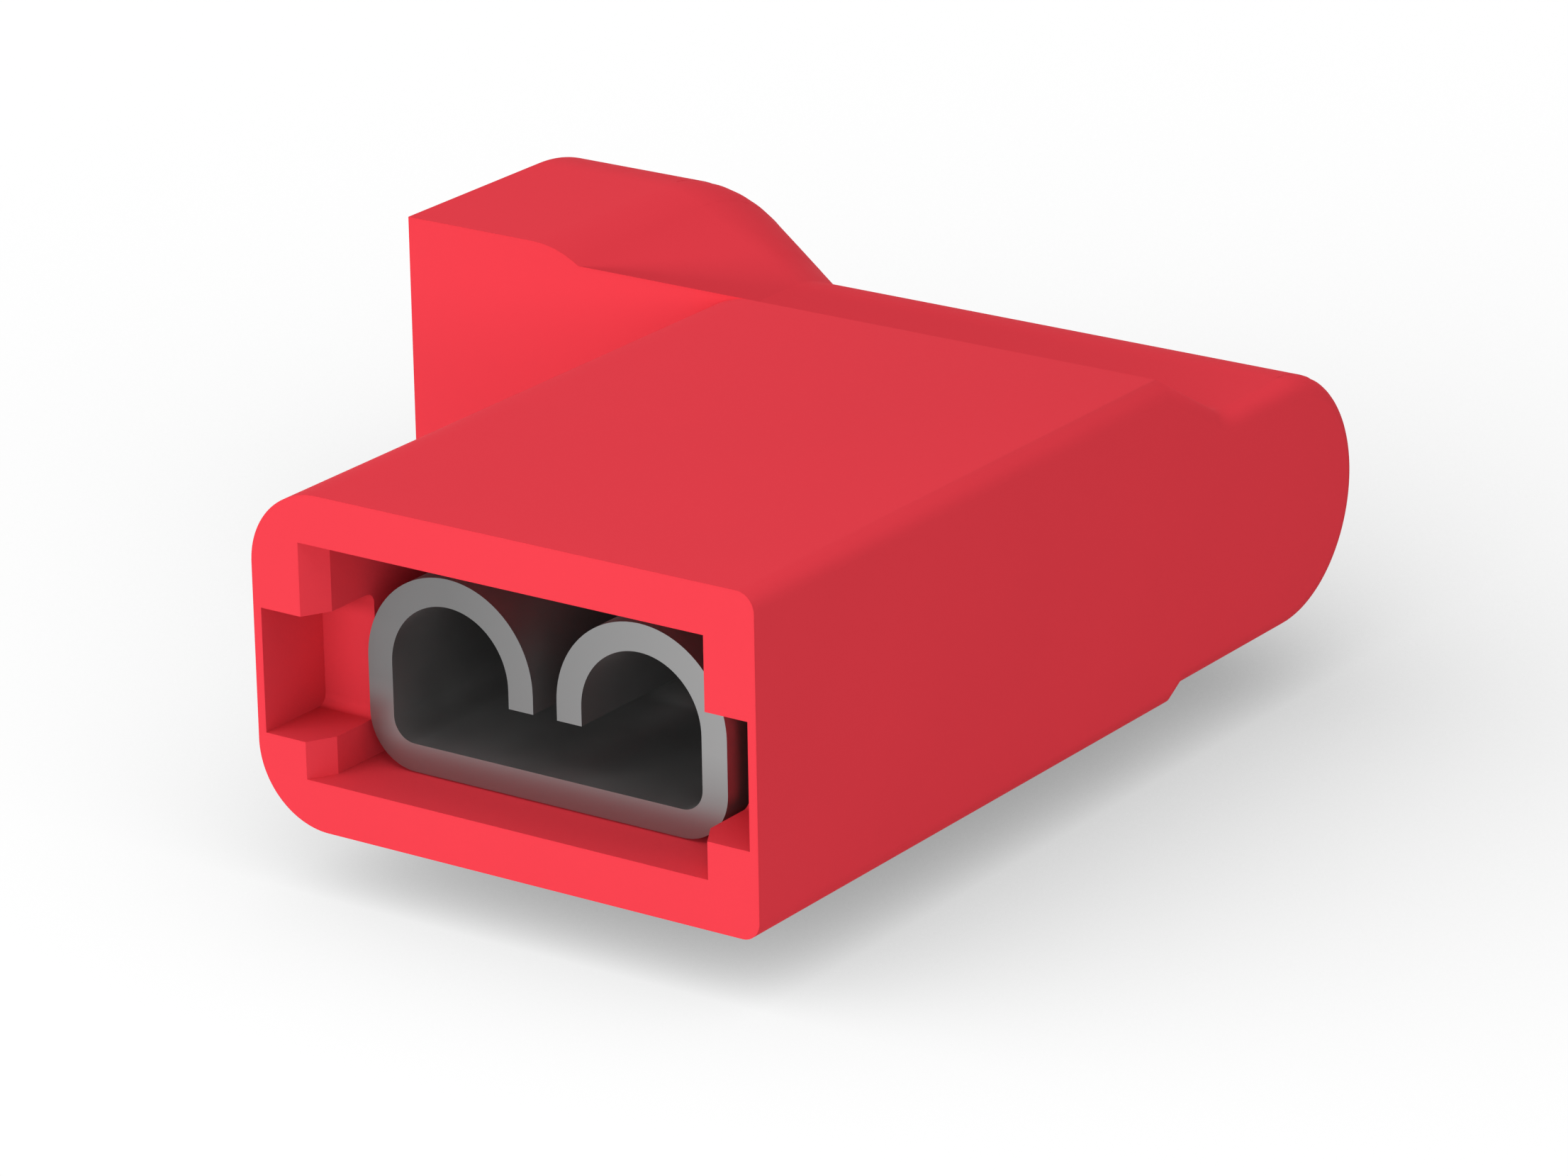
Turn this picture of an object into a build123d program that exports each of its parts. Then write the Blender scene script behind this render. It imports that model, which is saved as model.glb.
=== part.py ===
from build123d import *
from math import cos, radians, sin, tan
import os

# Insulated flag receptacle: a moulded housing round a rolled push-on contact. The tab
# goes in along +Y through the mouth. The wire comes in along +X at the back, at a
# right angle to the tab. Origin: middle of the mouth, on the mouth's face. +Z is up.

# Body of the housing
body_width = 8.13
body_height = 4.76
body_depth = 9.94
closed_side_radius = 0.27
wire_side_radius = 1.13

# Mouth, and the cavity behind it
cavity_width = 6.09
cavity_height = 3.35
lead_in_width = 0.225
lead_in_depth = 0.39
notch_width = 7.87
notch_height = 1.775
notch_depth = 1.29
notch_drop = 0.255
notch_corner_radius = 0.16

# Tube across the back of the body
tube_axis_y = 13.15
tube_radius = 1.84
shoulder_angle = 30.0
shoulder_foot_radius = 0.8
shoulder_wall = 0.65
heel_length = 0.09
barrel_clearance = 0.05

# Bell round the wire entry, at the tube's open end
bell_radius = 2.98
bell_reach = 9.02
bell_straight = 2.26
bell_shoulder_radius = 1.45
entry_radius = 2.2
entry_depth = 2.7

# Contact, rolled from one strip
stock = 0.40
contact_recess = 0.965
contact_length = 6.35
contact_side_clearance = 0.125
seat_gap = 0.02
floor_bend_radius = 0.33
roll_radius = 1.363
roll_axis_height = 1.485
tip_length = 0.265
dimple_radius = 0.75
dimple_height = 0.2
dimple_from_front = 3.7
tail_length = 0.7
neck_inset = 0.5
neck_corner_radius = 0.4
barrel_radius = 1.30
barrel_end_clearance = 0.125
barrel_land = 1.2
seam_gap = 0.1

# Places worked out from the sizes above
half_width = body_width / 2
top_z = body_height / 2
bottom_z = -body_height / 2
cavity_floor_z = -cavity_height / 2
cavity_ceiling_z = cavity_height / 2
contact_z = cavity_floor_z + seat_gap
tube_axis_z = contact_z + barrel_radius
tube_top_z = tube_axis_z + tube_radius
tube_bottom_z = tube_axis_z - tube_radius
slope = tan(radians(shoulder_angle))
shoulder_foot_y = body_depth + (top_z - tube_top_z) / slope
heel_y = body_depth + heel_length
heel_step_y = heel_y + (tube_bottom_z - bottom_z) / slope
tube_bore_radius = barrel_radius + seat_gap + barrel_clearance
tube_bore_z = cavity_floor_z + tube_bore_radius
cavity_slope_drop = top_z - cavity_ceiling_z - shoulder_wall / cos(radians(shoulder_angle))
cavity_slope_y = body_depth + cavity_slope_drop / slope
cavity_slope_run = (cavity_ceiling_z - tube_bore_z - tube_bore_radius) / slope
contact_width = cavity_width - 2 * contact_side_clearance
contact_back_y = contact_recess + contact_length
roll_axis_z = contact_z + roll_axis_height
tail_width = contact_width - 2 * (floor_bend_radius + stock)
neck_width = tail_width - 2 * neck_inset
barrel_length = cavity_width - 2 * barrel_end_clearance
barrel_bore_radius = barrel_radius - stock
tube_axis = Axis((0, tube_axis_y, tube_axis_z), (1, 0, 0))
tube_plane = Plane(tube_axis.position, x_dir=(1, 0, 0), z_dir=(0, -1, 0))


def tube_outline():
    """Side view of the tube and its sloping shoulder, from the body's back: Y along, Z up."""
    with BuildLine() as outline:
        Polyline(
            (tube_axis_y, tube_bottom_z),
            (heel_step_y, tube_bottom_z),
            (heel_y, bottom_z),
            (body_depth, bottom_z),
            (body_depth, top_z),
        )
        FilletPolyline(
            (body_depth, top_z),
            (shoulder_foot_y, tube_top_z),
            (tube_axis_y, tube_top_z),
            radius=shoulder_foot_radius,
        )
        ThreePointArc(
            (tube_axis_y, tube_top_z),
            (tube_axis_y + tube_radius, tube_axis_z),
            (tube_axis_y, tube_bottom_z),
        )
    return outline.line


def bell_outline():
    """Half section of the bell: X along, radius from the tube's axis up."""
    bend = radians(shoulder_angle)
    shoulder_x = bell_straight - bell_reach
    cone_x = shoulder_x + bell_shoulder_radius * sin(bend)
    cone_radius = bell_radius - bell_shoulder_radius * (1 - cos(bend))
    buried_x = cone_x + (cone_radius - tube_bore_radius) / slope
    with BuildLine() as outline:
        Polyline(
            (shoulder_x, bell_radius),
            (-bell_reach, bell_radius),
            (-bell_reach, 0),
            (buried_x, 0),
            (buried_x, tube_bore_radius),
            (cone_x, cone_radius),
        )
        RadiusArc((shoulder_x, bell_radius), (cone_x, cone_radius), bell_shoulder_radius)
    return outline.line


def cavity_outline():
    """Side view of the hollow that holds the contact, from the mouth to the tube."""
    with BuildLine() as outline:
        Polyline(
            (tube_axis_y, cavity_floor_z),
            (0, cavity_floor_z),
            (0, cavity_ceiling_z),
            (cavity_slope_y, cavity_ceiling_z),
            (cavity_slope_y + cavity_slope_run, tube_bore_z + tube_bore_radius),
            (tube_axis_y, tube_bore_z + tube_bore_radius),
        )
        ThreePointArc(
            (tube_axis_y, tube_bore_z + tube_bore_radius),
            (tube_axis_y + tube_bore_radius, tube_bore_z),
            (tube_axis_y, cavity_floor_z),
        )
    return outline.line


def entry_outline():
    """Half section of the wire entry: a bore, then a funnel down to the barrel's own bore."""
    funnel_x = entry_depth - bell_reach
    throat_x = funnel_x + (entry_radius - barrel_bore_radius) / slope
    with BuildLine() as outline:
        Polyline(
            (-bell_reach, 0),
            (-bell_reach, entry_radius),
            (funnel_x, entry_radius),
            (throat_x, barrel_bore_radius),
            (-cavity_width / 2, barrel_bore_radius),
            (-cavity_width / 2, 0),
            close=True,
        )
    return outline.line


def roll_outline():
    """One half of the contact's front view: X along, Z up. The other half mirrors it."""
    outer_x = contact_width / 2
    tip_x = outer_x - 2 * roll_radius
    outer_bend = floor_bend_radius + stock
    with BuildLine() as outline:
        Line((0, contact_z), (outer_x - outer_bend, contact_z))
        RadiusArc(
            (outer_x - outer_bend, contact_z),
            (outer_x, contact_z + outer_bend),
            -outer_bend,
        )
        Line((outer_x, contact_z + outer_bend), (outer_x, roll_axis_z))
        ThreePointArc(
            (outer_x, roll_axis_z),
            (outer_x - roll_radius, roll_axis_z + roll_radius),
            (tip_x, roll_axis_z),
        )
        Polyline(
            (tip_x, roll_axis_z),
            (tip_x, roll_axis_z - tip_length),
            (tip_x + stock, roll_axis_z - tip_length),
            (tip_x + stock, roll_axis_z),
        )
        ThreePointArc(
            (tip_x + stock, roll_axis_z),
            (outer_x - roll_radius, roll_axis_z + roll_radius - stock),
            (outer_x - stock, roll_axis_z),
        )
        Line((outer_x - stock, roll_axis_z), (outer_x - stock, contact_z + outer_bend))
        RadiusArc(
            (outer_x - stock, contact_z + outer_bend),
            (outer_x - outer_bend, contact_z + stock),
            floor_bend_radius,
        )
        Polyline(
            (outer_x - outer_bend, contact_z + stock),
            (0, contact_z + stock),
            (0, contact_z),
        )
    return outline.line


def dimple_outline(base_z):
    """Half section of the dimple that clicks into the tab's hole: radius along, Z up."""
    with BuildLine() as outline:
        Polyline((0, base_z + dimple_height), (0, base_z), (dimple_radius, base_z))
        cap_radius = (dimple_radius**2 + dimple_height**2) / (2 * dimple_height)
        RadiusArc((dimple_radius, base_z), (0, base_z + dimple_height), -cap_radius)
    return outline.line


with BuildPart() as insulating_housing:
    # Closed half: body and tube in one outline, its end rounded all round
    with BuildSketch(Plane.YZ):
        Rectangle(body_depth, body_height, align=(Align.MIN, Align.CENTER))
        with BuildLine():
            add(tube_outline())
        make_face()
    extrude(amount=half_width)
    closed_side = insulating_housing.faces().sort_by(Axis.X)[-1]
    fillet(closed_side.edges().sort_by(Axis.Y)[1:], closed_side_radius)

    # Wire-side half of the body, with its two long edges rounded
    with BuildSketch(Plane.YZ):
        Rectangle(body_depth, body_height, align=(Align.MIN, Align.CENTER))
    extrude(amount=-half_width)
    wire_side = insulating_housing.faces().sort_by(Axis.X)[0]
    fillet(wire_side.edges().sort_by(Axis.Y)[1:-1], wire_side_radius)

    # Tube on towards the wire, as far as the bell
    with BuildSketch(Plane.YZ):
        with BuildLine():
            add(tube_outline())
        make_face()
    extrude(amount=bell_straight - bell_reach)

    # Bell: turned about the tube's axis, and square in front of it
    with BuildSketch(tube_plane):
        with BuildLine():
            add(bell_outline())
        make_face()
    revolve(axis=tube_axis)
    with BuildSketch(tube_plane):
        with BuildLine():
            add(bell_outline())
        make_face()
        mirror(about=Plane.XZ)
    extrude(amount=tube_axis_y - body_depth)

    # Cavity
    with BuildSketch(Plane.YZ):
        with BuildLine():
            add(cavity_outline())
        make_face()
    extrude(amount=cavity_width / 2, both=True, mode=Mode.SUBTRACT)

    # Sloping lead-in at both sides of the mouth
    with BuildSketch(Plane.XY):
        with BuildLine():
            Polyline(
                (-cavity_width / 2 - lead_in_width, 0),
                (cavity_width / 2 + lead_in_width, 0),
                (cavity_width / 2, lead_in_depth),
                (-cavity_width / 2, lead_in_depth),
                close=True,
            )
        make_face()
    extrude(amount=cavity_height / 2, both=True, mode=Mode.SUBTRACT)

    # Notch across the mouth, with round inner corners
    with BuildSketch(Plane.YZ) as notch:
        with Locations((notch_depth / 2, -notch_drop)):
            Rectangle(notch_depth, notch_height)
        fillet(notch.vertices().group_by(Axis.X)[-1], notch_corner_radius)
    extrude(amount=notch_width / 2, both=True, mode=Mode.SUBTRACT)

    # Wire entry
    with BuildSketch(tube_plane):
        with BuildLine():
            add(entry_outline())
        make_face()
    revolve(axis=tube_axis, mode=Mode.SUBTRACT)

with BuildPart() as receptacle_contact:
    # Floor, sides and two rolls that grip the tab
    with BuildSketch(Plane.XZ.offset(-contact_recess)):
        with BuildLine():
            add(roll_outline())
        make_face()
        mirror(about=Plane.YZ)
    extrude(amount=-contact_length)

    # Dimple, pressed up from below
    dimple_plane = Plane.XZ.offset(-contact_recess - dimple_from_front)
    dimple_axis = Axis(dimple_plane.origin, (0, 0, 1))
    with BuildSketch(dimple_plane):
        with BuildLine():
            add(dimple_outline(contact_z + stock))
        make_face()
    revolve(axis=dimple_axis)
    with BuildSketch(dimple_plane):
        with BuildLine():
            add(dimple_outline(contact_z))
        make_face()
    revolve(axis=dimple_axis, mode=Mode.SUBTRACT)

    # Neck, from the receptacle's floor to the strip under the barrel
    with BuildSketch(Plane.XY.offset(contact_z)) as strip:
        with Locations((0, contact_back_y)):
            Rectangle(tail_width, tail_length, align=(Align.CENTER, Align.MIN))
            Rectangle(neck_width, tube_axis_y - contact_back_y, align=(Align.CENTER, Align.MIN))
        with Locations((0, tube_axis_y)):
            Rectangle(barrel_length, barrel_land, align=(Align.CENTER, Align.MAX))
        inner_corners = strip.vertices().filter_by(
            lambda corner: abs(abs(corner.X) - neck_width / 2) < 0.01
        )
        fillet(inner_corners, neck_corner_radius)
    extrude(amount=stock)

    # Wire barrel, rolled across the strip's end with its seam at the front
    with BuildSketch(Plane.YZ):
        with Locations((tube_axis_y, tube_axis_z)):
            Circle(barrel_radius)
            Circle(barrel_bore_radius, mode=Mode.SUBTRACT)
        with Locations((tube_axis_y, contact_z + stock)):
            Rectangle(barrel_radius, seam_gap, align=(Align.MAX, Align.MIN), mode=Mode.SUBTRACT)
    extrude(amount=barrel_length / 2, both=True)

os.makedirs("parts", exist_ok=True)
insulating_housing.part.label = "insulating_housing"
export_step(insulating_housing.part, "parts/insulating_housing.step")
receptacle_contact.part.label = "receptacle_contact"
export_step(receptacle_contact.part, "parts/receptacle_contact.step")
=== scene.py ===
import math
import bmesh
import bpy
from mathutils import Matrix, Vector


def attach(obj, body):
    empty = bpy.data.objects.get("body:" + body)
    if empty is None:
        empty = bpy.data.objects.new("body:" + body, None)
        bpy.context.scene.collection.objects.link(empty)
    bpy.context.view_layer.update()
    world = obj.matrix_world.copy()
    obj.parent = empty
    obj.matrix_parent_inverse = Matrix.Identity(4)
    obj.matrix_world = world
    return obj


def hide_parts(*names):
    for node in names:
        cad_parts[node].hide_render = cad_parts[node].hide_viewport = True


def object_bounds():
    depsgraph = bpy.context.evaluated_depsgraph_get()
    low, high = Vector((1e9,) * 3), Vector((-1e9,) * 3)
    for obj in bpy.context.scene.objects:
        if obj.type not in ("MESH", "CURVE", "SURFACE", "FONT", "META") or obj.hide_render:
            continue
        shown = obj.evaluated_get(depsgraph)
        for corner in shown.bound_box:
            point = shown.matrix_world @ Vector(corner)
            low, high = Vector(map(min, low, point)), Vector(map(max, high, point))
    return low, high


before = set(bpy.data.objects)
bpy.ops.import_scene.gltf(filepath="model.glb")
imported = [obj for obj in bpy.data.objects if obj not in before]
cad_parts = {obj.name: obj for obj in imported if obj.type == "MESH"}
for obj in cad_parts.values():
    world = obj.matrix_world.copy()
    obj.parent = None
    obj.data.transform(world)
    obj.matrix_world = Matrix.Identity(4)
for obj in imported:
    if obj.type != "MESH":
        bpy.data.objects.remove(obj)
cadLow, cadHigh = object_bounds()
mm = 0.001
print("frame loaded:", sorted(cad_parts))


# small helpers for node trees

def newMaterial(name):
    material = bpy.data.materials.new(name)
    material.use_nodes = True
    tree = material.node_tree
    tree.nodes.clear()
    return material, tree


def addNode(tree, kind, **settings):
    # a setting is a property of the node or, failing that, one of its sockets
    node = tree.nodes.new(kind)
    for key, value in settings.items():
        if hasattr(node, key):
            setattr(node, key, value)
        else:
            node.inputs[key].default_value = value
    return node


def wire(tree, source, target):
    tree.links.new(source, target)


def feed(tree, socket, value):
    # a socket takes a number, a colour or another node's output
    if isinstance(value, tuple):
        socket.default_value = (*value, 1)
    elif isinstance(value, (int, float)):
        socket.default_value = value
    else:
        wire(tree, value, socket)


def noise(tree, scale, detail, roughness=0.5, stretch=(1, 1, 1)):
    # on object coordinates, in metres, stretched for streaky patterns
    where = addNode(tree, "ShaderNodeTexCoord")
    mapping = addNode(tree, "ShaderNodeMapping", Scale=stretch)
    node = addNode(tree, "ShaderNodeTexNoise", Scale=scale, Detail=detail, Roughness=roughness)
    wire(tree, where.outputs["Object"], mapping.inputs["Vector"])
    wire(tree, mapping.outputs["Vector"], node.inputs["Vector"])
    return node.outputs["Fac"]


def spread(tree, value, low, high, start=0.3, end=0.7):
    # maps start..end onto low..high, and the defaults suit a noise value
    node = addNode(tree, "ShaderNodeMapRange")
    node.inputs["From Min"].default_value = start
    node.inputs["From Max"].default_value = end
    node.inputs["To Min"].default_value = low
    node.inputs["To Max"].default_value = high
    wire(tree, value, node.inputs["Value"])
    return node.outputs["Result"]


def arithmetic(tree, operation, first, second):
    node = addNode(tree, "ShaderNodeMath", operation=operation)
    feed(tree, node.inputs[0], first)
    feed(tree, node.inputs[1], second)
    return node.outputs[0]


def blendColours(tree, factor, first, second):
    node = addNode(tree, "ShaderNodeMix", data_type="RGBA", clamp_factor=True)
    feed(tree, node.inputs["Factor"], factor)
    feed(tree, node.inputs[6], first)      # the colour sockets of this node
    feed(tree, node.inputs[7], second)
    return node.outputs[2]


def blendNumbers(tree, factor, first, second):
    node = addNode(tree, "ShaderNodeMix", data_type="FLOAT", clamp_factor=True)
    feed(tree, node.inputs["Factor"], factor)
    feed(tree, node.inputs[2], first)      # the number sockets
    feed(tree, node.inputs[3], second)
    return node.outputs[0]


def hollows(tree, reach, inside=False, samples=8):
    # share of open sky over a point, counting the piece itself only
    node = addNode(tree, "ShaderNodeAmbientOcclusion", samples=samples, Distance=reach)
    node.only_local = True
    node.inside = inside
    return node.outputs["AO"]


def ripple(tree, height, depth, under=None):
    # raises a pattern on the surface, or on an earlier ripple
    bump = addNode(tree, "ShaderNodeBump", Strength=1.0, Distance=depth)
    wire(tree, height, bump.inputs["Height"])
    if under:
        wire(tree, under, bump.inputs["Normal"])
    return bump.outputs["Normal"]


def startShader(tree):
    shader = addNode(tree, "ShaderNodeBsdfPrincipled")
    out = addNode(tree, "ShaderNodeOutputMaterial")
    wire(tree, shader.outputs["BSDF"], out.inputs["Surface"])
    return shader


# small helpers for meshes

def addObject(shape, name, material):
    mesh = bpy.data.meshes.new(name)
    shape.to_mesh(mesh)
    shape.free()
    mesh.materials.append(material)
    made = bpy.data.objects.new(name, mesh)
    bpy.context.scene.collection.objects.link(made)
    return made


def flattenFaces(piece):
    # keeps the large flat faces flat beside smooth roundings
    flatter = piece.modifiers.new("flatFaces", "WEIGHTED_NORMAL")
    flatter.keep_sharp = True


# moulded red nylon

nylon = {
    "deepRed": (0.718, 0.0410, 0.0585),      # linear colour of the darker flow marks
    "brightRed": (0.748, 0.0430, 0.0612),
    "rubbedRed": (0.780, 0.055, 0.075),      # along handled edges
    "paintedShadeDark": (0.0, 0.0, 0.0),            # painted shade: what corners and hollows lean to
    "specular": 0.005,
    "roughness": (0.50, 0.60),
    "flow": {"scale": 260.0, "detail": 4, "roughness": 0.55},       # blotches of about 4 mm
    "grain": {"scale": 11000.0, "detail": 3, "roughness": 0.6},     # of the eroded mould, about 0.09 mm
    "grainShare": 0.4,                       # of the changes in roughness, the rest is flow
    "grainDepth": 0.0018 * mm,
    "flowDepth": 0.004 * mm,
    "edgeReach": 0.05 * mm,                  # width of the rubbed line along an edge
    "edgeRange": (0.2, 1.0),
    "rub": 0.3,
    "hollowReach": 2.0 * mm,                 # how far off a wall the painted shade still darkens a hollow
    "hollowPower": 0.10,
    "deepReach": 10.0 * mm,                  # painted shade of the long passages inside
    "deepRange": (0.05, 0.22),
    "deepShade": 0.5,
}


def makeNylon():
    material, tree = newMaterial("redNylon")
    shader = startShader(tree)
    shader.inputs["Specular IOR Level"].default_value = nylon["specular"]

    flow = noise(tree, **nylon["flow"])
    grain = noise(tree, **nylon["grain"])
    colour = blendColours(tree, spread(tree, flow, 0, 1), nylon["deepRed"], nylon["brightRed"])
    edges = hollows(tree, nylon["edgeReach"], inside=True)
    rubbed = spread(tree, edges, 0, nylon["rub"], *nylon["edgeRange"])
    colour = blendColours(tree, rubbed, colour, nylon["rubbedRed"])
    # painted shade: corners, hollows and the long passages inside are darkened towards black
    near = arithmetic(tree, "POWER", hollows(tree, nylon["hollowReach"]), nylon["hollowPower"])
    deep = spread(tree, hollows(tree, nylon["deepReach"]), nylon["deepShade"], 1, *nylon["deepRange"])
    colour = blendColours(tree, arithmetic(tree, "MULTIPLY", near, deep), nylon["paintedShadeDark"], colour)
    wire(tree, colour, shader.inputs["Base Color"])

    flowPart = arithmetic(tree, "MULTIPLY", flow, 1 - nylon["grainShare"])
    grainPart = arithmetic(tree, "MULTIPLY", grain, nylon["grainShare"])
    mixed = arithmetic(tree, "ADD", flowPart, grainPart)
    wire(tree, spread(tree, mixed, *nylon["roughness"]), shader.inputs["Roughness"])

    wavy = ripple(tree, flow, nylon["flowDepth"])
    wire(tree, ripple(tree, grain, nylon["grainDepth"], wavy), shader.inputs["Normal"])
    return material


# the housing, its round forms drawn finer than the facets of the solid, in millimetres

housing = {
    "roundForms": (                          # point on the axis, direction, radius or None for all
        ((0, 13.15, -0.355), (1, 0, 0), None),
        ((-2.935, 0, 1.25), (0, 1, 0), 1.13),
        ((-2.935, 0, -1.25), (0, 1, 0), 1.13),
    ),
    "cuts": 3,                               # new points on each facet round an axis
    "merge": 1e-4,
    "flatTurn": 0.3,                         # degrees, triangles as flat as this make one face
    "offAxis": 1e-4,                         # how far a facet edge may run along the axis
    "offRound": 2e-3,                        # and how far its ends may differ in radius
    "leastRadius": 0.5,
    "facetTurn": (2, 35),                    # degrees that one facet covers
    "smoothTurn": 20,                        # degrees
    "filletTurn": 45,                        # where a face beside the edge is a narrow rounding
    "filletWidth": 0.2,
}


def roundUp(shape, point, direction, radius):
    # facets round an axis get more points, each moved out to its circle
    point, direction = Vector(point), Vector(direction)
    reach = shape.verts.layers.float.new("reach")
    least, most = (math.radians(turn) for turn in housing["facetTurn"])

    def spoke(vert):
        arm = vert.co - point
        return arm - direction * arm.dot(direction)

    chords = []
    for edge in shape.edges:
        first, second = (spoke(vert) for vert in edge.verts)
        if abs((edge.verts[1].co - edge.verts[0].co).dot(direction)) > housing["offAxis"]:
            continue
        if abs(first.length - second.length) > housing["offRound"] or first.length < housing["leastRadius"]:
            continue
        if radius and abs(first.length - radius) > housing["offRound"]:
            continue
        if least < first.angle(second) < most:
            chords.append(edge)
            edge.verts[0][reach] = edge.verts[1][reach] = first.length
    cut = bmesh.ops.subdivide_edges(shape, edges=chords, cuts=housing["cuts"], use_grid_fill=True)
    for vert in cut["geom_inner"]:
        if isinstance(vert, bmesh.types.BMVert):
            arm = spoke(vert)
            vert.co += arm.normalized() * (vert[reach] - arm.length)
    shape.verts.layers.float.remove(reach)
    print("rounded", len(chords), "facet edges")


def breadth(face):
    return face.calc_area() / max(edge.calc_length() for edge in face.edges)


def makeHousing():
    shape = bmesh.new()
    shape.from_mesh(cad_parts["insulating_housing"].data)
    bmesh.ops.scale(shape, vec=(1 / mm,) * 3, verts=shape.verts)
    bmesh.ops.remove_doubles(shape, verts=shape.verts, dist=housing["merge"])
    bmesh.ops.dissolve_degenerate(shape, edges=shape.edges, dist=housing["merge"])
    bmesh.ops.dissolve_limit(
        shape, angle_limit=math.radians(housing["flatTurn"]), verts=shape.verts, edges=shape.edges
    )
    for point, direction, radius in housing["roundForms"]:
        roundUp(shape, point, direction, radius)
    for face in shape.faces:
        face.smooth = True
    for edge in shape.edges:
        turn = math.degrees(edge.calc_face_angle(math.pi))
        narrow = min(breadth(face) for face in edge.link_faces) < housing["filletWidth"]
        edge.smooth = turn < housing["smoothTurn"] or (turn < housing["filletTurn"] and narrow)
    bmesh.ops.scale(shape, vec=(mm,) * 3, verts=shape.verts)
    piece = addObject(shape, "mouldedHousing", makeNylon())
    flattenFaces(piece)
    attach(piece, "root")
    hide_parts("insulating_housing")
    print("housing made:", len(piece.data.polygons), "faces")


# dull tin plate on the contact strip

tin = {
    "dull": (0.305, 0.305, 0.305),
    "bright": (0.345, 0.345, 0.345),
    "roughness": (0.48, 0.55),
    "clouds": {"scale": 500.0, "detail": 3, "roughness": 0.5},               # reflow clouds, about 2 mm
    "lines": {"scale": 12000.0, "detail": 2, "stretch": (1, 0.05, 1)},       # rolling lines along the strip
    "lineDepth": 0.00025 * mm,
    "cutFacing": (0.7, 0.9),                 # how square to the strip a sheared end is
    "cutShadedLeft": (0.190, 0.190, 0.190),        # sheared ends, painted shade darker on the left
    "cutLitRight": (0.325, 0.325, 0.325),
    "cutLow": (0.270, 0.270, 0.270),
    "cutAcross": (-1.6 * mm, 2.8 * mm),      # painted shade, from the darker left to the lighter right
    "cutDown": (-1.0 * mm, -0.4 * mm),       # painted shade, from one grey along the lower edge to the rest
    "cutRoughness": 0.33,
}


def makeTin():
    material, tree = newMaterial("dullTin")
    shader = startShader(tree)
    shader.inputs["Metallic"].default_value = 1.0

    clouds = noise(tree, **tin["clouds"])
    lines = noise(tree, **tin["lines"])
    where = addNode(tree, "ShaderNodeTexCoord")
    facing = addNode(tree, "ShaderNodeSeparateXYZ")
    place = addNode(tree, "ShaderNodeSeparateXYZ")
    wire(tree, where.outputs["Normal"], facing.inputs[0])
    wire(tree, where.outputs["Object"], place.inputs[0])
    square = arithmetic(tree, "ABSOLUTE", facing.outputs["Y"], 0)
    ends = spread(tree, square, 0, 1, *tin["cutFacing"])

    colour = blendColours(tree, spread(tree, clouds, 0, 1), tin["dull"], tin["bright"])
    # painted shade on the sheared ends, darker to the left and one grey along the lower edge
    across = spread(tree, place.outputs["X"], 0, 1, *tin["cutAcross"])
    low = spread(tree, place.outputs["Z"], 1, 0, *tin["cutDown"])
    cut = blendColours(tree, across, tin["cutShadedLeft"], tin["cutLitRight"])
    cut = blendColours(tree, low, cut, tin["cutLow"])
    wire(tree, blendColours(tree, ends, colour, cut), shader.inputs["Base Color"])

    rough = blendNumbers(tree, ends, spread(tree, clouds, *tin["roughness"]), tin["cutRoughness"])
    wire(tree, rough, shader.inputs["Roughness"])
    wire(tree, ripple(tree, lines, tin["lineDepth"]), shader.inputs["Normal"])
    return material


# the contact strip, drawn as the underside of one half and then given its thickness

contact = {
    "stock": 0.40 * mm,
    "underside": -1.655 * mm,
    "front": 0.965 * mm,
    "back": 7.315 * mm,
    "floorHalf": 2.19 * mm,                  # flat part of the floor, to the start of the bend
    "bend": 0.73 * mm,
    "bendSteps": 16,
    "roll": 1.363 * mm,
    "rollHeight": 1.485 * mm,
    "rollSteps": 44,
    "tip": 0.265 * mm,
    "dimpleY": 4.665 * mm,
    "dimpleRadius": 0.75 * mm,
    "dimpleHeight": 0.20 * mm,
    "dimpleSteps": 8,                        # along its radius
    "tailEnd": 8.015 * mm,
    "neckHalf": 1.69 * mm,
    "neckCorner": 0.40 * mm,
    "neckSteps": 6,                          # along a quarter turn
    "landStart": 11.95 * mm,
    "barrelY": 13.15 * mm,
    "barrelRadius": 1.30 * mm,
    "barrelTurn": 308.0,                     # degrees
    "barrelSteps": 72,
    "crispTurn": 30,                         # degrees, sharper edges stay crisp
    "tiny": 1e-5 * mm,                       # less than any size of the strip
    "merge": 1e-4 * mm,
    "mirrorMerge": 1e-3 * mm,
}


def pull(shape, vert, step):
    # draws an edge on from a vertex and gives its far end
    drawn = bmesh.ops.extrude_vert_indiv(shape, verts=[vert])
    bmesh.ops.translate(shape, vec=step, verts=drawn["verts"])
    return drawn["verts"][0]


def swing(shape, vert, centre, degrees, steps):
    # draws an arc on from a vertex, in the strip's front view
    turned = bmesh.ops.spin(
        shape, geom=[vert], cent=centre, axis=(0, -1, 0),
        angle=math.radians(degrees), steps=steps, use_duplicate=False,
    )
    return [part for part in turned["geom_last"] if isinstance(part, bmesh.types.BMVert)][0]


def widen(shape, edges, step):
    # draws faces on from a row of edges and gives the new row
    drawn = bmesh.ops.extrude_edge_only(shape, edges=edges)["geom"]
    moved = [part for part in drawn if isinstance(part, bmesh.types.BMVert)]
    bmesh.ops.translate(shape, vec=(0, step, 0), verts=moved)
    borders = [part for part in drawn if isinstance(part, bmesh.types.BMEdge) and len(part.link_faces) == 1]
    return [edge for edge in borders if abs(edge.verts[0].co.y - edge.verts[1].co.y) < contact["tiny"]]


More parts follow.
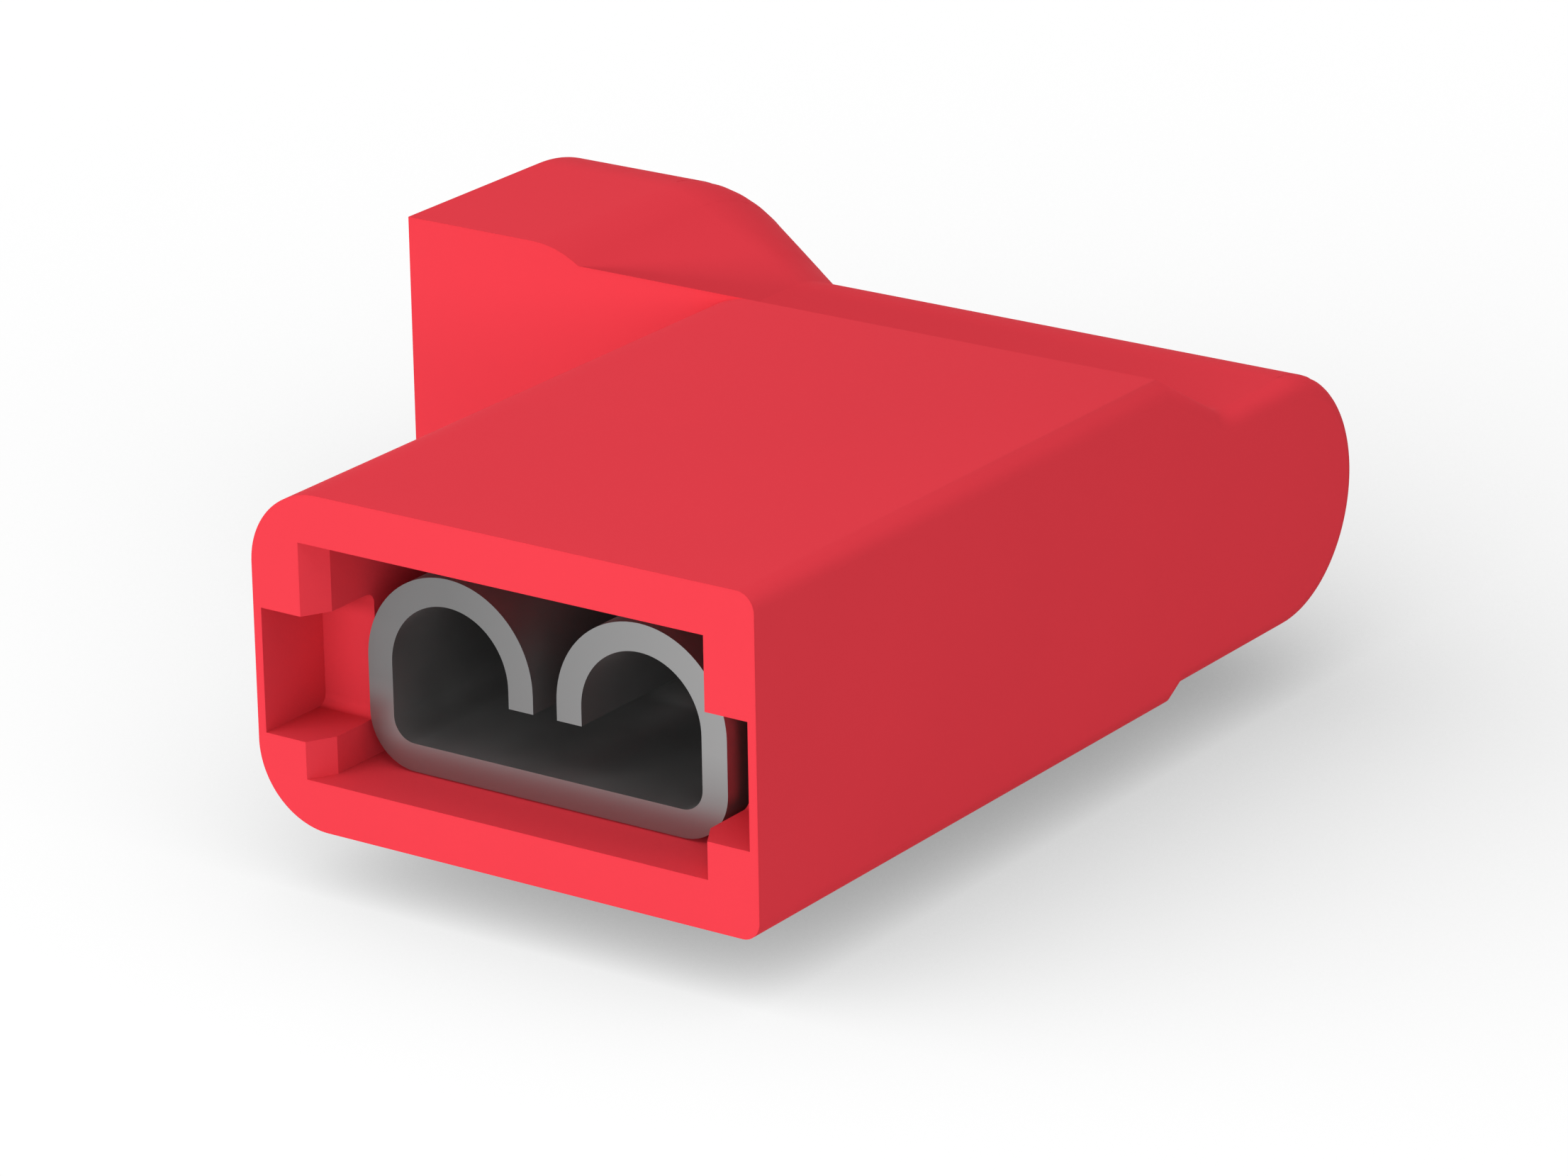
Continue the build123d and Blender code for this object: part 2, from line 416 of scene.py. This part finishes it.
def drawFront(shape):
    # floor, bend, side, roll and tip
    c = contact
    bendZ = c["underside"] + c["bend"]
    rollZ = c["underside"] + c["rollHeight"]
    rollX = c["floorHalf"] + c["bend"] - c["roll"]
    last = shape.verts.new((0, c["front"], c["underside"]))
    for step in range(c["dimpleSteps"]):
        last = pull(shape, last, (c["dimpleRadius"] / c["dimpleSteps"], 0, 0))
    last = pull(shape, last, (c["neckHalf"] + c["neckCorner"] - c["dimpleRadius"], 0, 0))
    last = pull(shape, last, (c["floorHalf"] - c["neckHalf"] - c["neckCorner"], 0, 0))
    last = swing(shape, last, (c["floorHalf"], c["front"], bendZ), 90, c["bendSteps"])
    last = pull(shape, last, (0, 0, rollZ - bendZ))
    last = swing(shape, last, (rollX, c["front"], rollZ), 180, c["rollSteps"])
    pull(shape, last, (0, 0, -c["tip"]))
    return list(shape.edges)


def drawGrip(shape, row):
    # along the rolls, with short steps under the dimple
    c = contact
    row = widen(shape, row, c["dimpleY"] - c["dimpleRadius"] - c["front"])
    for step in range(2 * c["dimpleSteps"]):
        row = widen(shape, row, c["dimpleRadius"] / c["dimpleSteps"])
    return widen(shape, row, c["back"] - c["dimpleY"] - c["dimpleRadius"])


def drawNeck(shape, row):
    # the tail, and then the neck with a round corner at each end
    c = contact
    flat = [edge for edge in row if all(abs(vert.co.z - c["underside"]) < c["tiny"] for vert in edge.verts)]
    row = widen(shape, flat, c["tailEnd"] - c["back"])
    row = [edge for edge in row if all(vert.co.x < c["floorHalf"] - c["tiny"] for vert in edge.verts)]
    turns = [1 - math.cos(math.pi / 2 * turn / c["neckSteps"]) for turn in range(c["neckSteps"] + 1)]
    rise = [c["neckCorner"] * (high - low) for low, high in zip(turns, turns[1:])]
    straight = c["landStart"] - c["tailEnd"] - 2 * c["neckCorner"]
    for step in rise + [straight] + rise[::-1]:
        row = widen(shape, row, step)
    middle = (c["tailEnd"] + c["landStart"]) / 2
    for vert in shape.verts:
        fromEnd = (c["landStart"] - c["tailEnd"]) / 2 - abs(vert.co.y - middle)
        if fromEnd > c["tiny"] and vert.co.x > c["neckHalf"]:
            over = max(c["neckCorner"] - fromEnd, 0)
            vert.co.x = c["neckHalf"] + c["neckCorner"] - math.sqrt(c["neckCorner"] ** 2 - over ** 2)
    return row


def drawBarrel(shape, row):
    # a land as wide as the rolls, and the barrel rolled up from its end
    c = contact
    outermost = max((vert for edge in row for vert in edge.verts), key=lambda vert: vert.co.x)
    pull(shape, outermost, (c["floorHalf"] + c["bend"] - outermost.co.x, 0, 0))
    row += [edge for edge in outermost.link_edges if edge not in row and not edge.link_faces]
    row = widen(shape, row, c["barrelY"] - c["landStart"])
    bmesh.ops.spin(
        shape, geom=row + list(dict.fromkeys(vert for edge in row for vert in edge.verts)),
        cent=(0, c["barrelY"], c["underside"] + c["barrelRadius"]), axis=(1, 0, 0),
        angle=math.radians(c["barrelTurn"]), steps=c["barrelSteps"], use_duplicate=False,
    )


def thicken(shape):
    # the other half, and the thickness on the upper side
    c = contact
    bmesh.ops.remove_doubles(shape, verts=shape.verts, dist=c["merge"])
    half = shape.verts[:] + shape.edges[:] + shape.faces[:]
    bmesh.ops.mirror(shape, geom=half, axis="X", merge_dist=c["mirrorMerge"])
    bmesh.ops.recalc_face_normals(shape, faces=shape.faces)
    corner = Vector((0, c["front"], c["underside"]))
    floorFace = min(shape.faces, key=lambda face: (face.calc_center_median() - corner).length)
    if floorFace.normal.z > 0:
        bmesh.ops.reverse_faces(shape, faces=shape.faces)
    bmesh.ops.solidify(shape, geom=shape.faces[:], thickness=c["stock"])
    bmesh.ops.recalc_face_normals(shape, faces=shape.faces)


def pressDimple(shape):
    # part of a ball, pressed up through both sides of the floor
    c = contact
    radius, height = c["dimpleRadius"], c["dimpleHeight"]
    ball = (radius ** 2 + height ** 2) / (2 * height)
    for vert in shape.verts:
        out = math.hypot(vert.co.x, vert.co.y - c["dimpleY"])
        if out < radius and vert.co.z < c["underside"] + c["stock"] + c["tiny"]:
            vert.co.z += math.sqrt(ball ** 2 - out ** 2) - ball + height


def makeContact():
    shape = bmesh.new()
    row = drawFront(shape)
    row = drawGrip(shape, row)
    row = drawNeck(shape, row)
    drawBarrel(shape, row)
    thicken(shape)
    pressDimple(shape)
    for face in shape.faces:
        face.smooth = True
    for edge in shape.edges:
        edge.smooth = edge.calc_face_angle(math.pi) < math.radians(contact["crispTurn"])
    piece = addObject(shape, "rolledContact", makeTin())
    flattenFaces(piece)
    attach(piece, "root")
    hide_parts("receptacle_contact")
    print("contact made:", len(piece.data.polygons), "faces")


makeHousing()
makeContact()


# floor and world

stage = {
    "floorDrop": 0.01 * mm,                  # gap under the lowest point
    "floorRadius": 0.6,                      # metres
    "floorSides": 96,
    "floorGrey": (0.80, 0.80, 0.80),
    "openWhite": 1.01,                       # white of the floor far from the object
    "shadeWhite": 0.15,                      # what is left of it in the deepest painted shadow
    "shadeReach": 1.0,
    "shadeSamples": 16,
    "shadeTilt": 40.0,                       # degrees, the open side of the shade leans to the front
    "worldLight": 0.22,
}


def seenDirectly(tree):
    # 1 for camera, glossy and transmission rays
    path = addNode(tree, "ShaderNodeLightPath")
    first = arithmetic(tree, "MAXIMUM", path.outputs["Is Camera Ray"], path.outputs["Is Glossy Ray"])
    return arithmetic(tree, "MAXIMUM", first, path.outputs["Is Transmission Ray"])


def makePaleFloor():
    # seen directly, it glows white with a painted neutral soft shadow of the object
    material, tree = newMaterial("paleFloor")
    diffuse = addNode(tree, "ShaderNodeBsdfDiffuse")
    feed(tree, diffuse.inputs["Color"], stage["floorGrey"])
    tilt = math.radians(stage["shadeTilt"])
    lean = addNode(tree, "ShaderNodeCombineXYZ", Y=-math.sin(tilt), Z=math.cos(tilt))
    # the painted shadow follows how much open sky a point of the floor sees
    shade = addNode(tree, "ShaderNodeAmbientOcclusion", samples=stage["shadeSamples"])
    shade.inputs["Distance"].default_value = stage["shadeReach"]
    wire(tree, lean.outputs[0], shade.inputs["Normal"])
    glow = addNode(tree, "ShaderNodeEmission")
    lit = arithmetic(tree, "MULTIPLY", shade.outputs["AO"], stage["openWhite"] - stage["shadeWhite"])
    wire(tree, arithmetic(tree, "ADD", lit, stage["shadeWhite"]), glow.inputs["Strength"])
    both = addNode(tree, "ShaderNodeMixShader")
    out = addNode(tree, "ShaderNodeOutputMaterial")
    wire(tree, seenDirectly(tree), both.inputs[0])
    wire(tree, diffuse.outputs[0], both.inputs[1])
    wire(tree, glow.outputs[0], both.inputs[2])
    wire(tree, both.outputs[0], out.inputs["Surface"])
    return material


def makeFloor():
    shape = bmesh.new()
    bmesh.ops.create_circle(shape, cap_ends=True, segments=stage["floorSides"], radius=stage["floorRadius"])
    bmesh.ops.translate(shape, vec=(0, 0, cadLow.z - stage["floorDrop"]), verts=shape.verts)
    floor = addObject(shape, "studioFloor", makePaleFloor())


def makeWorld():
    world = bpy.data.worlds.new("paleStudio")
    world.use_nodes = True
    tree = world.node_tree
    tree.nodes.clear()
    sky = addNode(tree, "ShaderNodeBackground", Color=(1, 1, 1, 1))
    share = arithmetic(tree, "MULTIPLY", seenDirectly(tree), 1 - stage["worldLight"])
    wire(tree, arithmetic(tree, "ADD", share, stage["worldLight"]), sky.inputs["Strength"])
    out = addNode(tree, "ShaderNodeOutputWorld")
    wire(tree, sky.outputs[0], out.inputs["Surface"])
    bpy.context.scene.world = world


# lamps, by the side they stand on, their distance from the object's middle and their size

lamps = {
    "frontStrip": {"side": (0.034, -0.974, 0.225), "distance": 0.4, "size": (1.386, 0.056), "watts": 2.540},
    "topSoft": {"side": (0.000, -0.105, 0.995), "distance": 0.4, "size": (0.462, 0.462), "watts": 1.340},
}


def makeLamps():
    centre = (cadLow + cadHigh) / 2
    for name, lamp in lamps.items():
        data = bpy.data.lights.new(name, "AREA")
        data.shape = "RECTANGLE"
        data.size, data.size_y = lamp["size"]
        data.energy = lamp["watts"]
        side = Vector(lamp["side"]).normalized()
        holder = bpy.data.objects.new(name, data)
        holder.location = centre + side * lamp["distance"]
        holder.rotation_mode = "QUATERNION"
        holder.rotation_quaternion = side.to_track_quat("Z", "Y")
        bpy.context.scene.collection.objects.link(holder)


makeFloor()
makeWorld()
makeLamps()
print("floor, world and lamps made")


# camera at the photograph's place

view = {
    "location": (0.053177, -0.069410, 0.033430),    # metres
    "yaw": 35.022,                                  # degrees
    "down": 20.0145,
    "roll": -0.953,
    "lens": 165.28,
    "sensor": 36.0,
    "clip": (0.005, 5.0),
}


def makeCamera():
    data = bpy.data.cameras.new("photoCamera")
    data.sensor_width = view["sensor"]
    data.lens = view["lens"]
    data.clip_start, data.clip_end = view["clip"]
    camera = bpy.data.objects.new("photoCamera", data)
    bpy.context.scene.collection.objects.link(camera)
    turn = Matrix.Rotation(math.radians(view["yaw"]), 4, "Z")
    turn = turn @ Matrix.Rotation(math.radians(90 - view["down"]), 4, "X")
    turn = turn @ Matrix.Rotation(math.radians(view["roll"]), 4, "Z")
    camera.matrix_world = Matrix.Translation(view["location"]) @ turn
    bpy.context.scene.camera = camera


makeCamera()
bpy.context.scene.view_settings.view_transform = "Standard"
print("camera set")
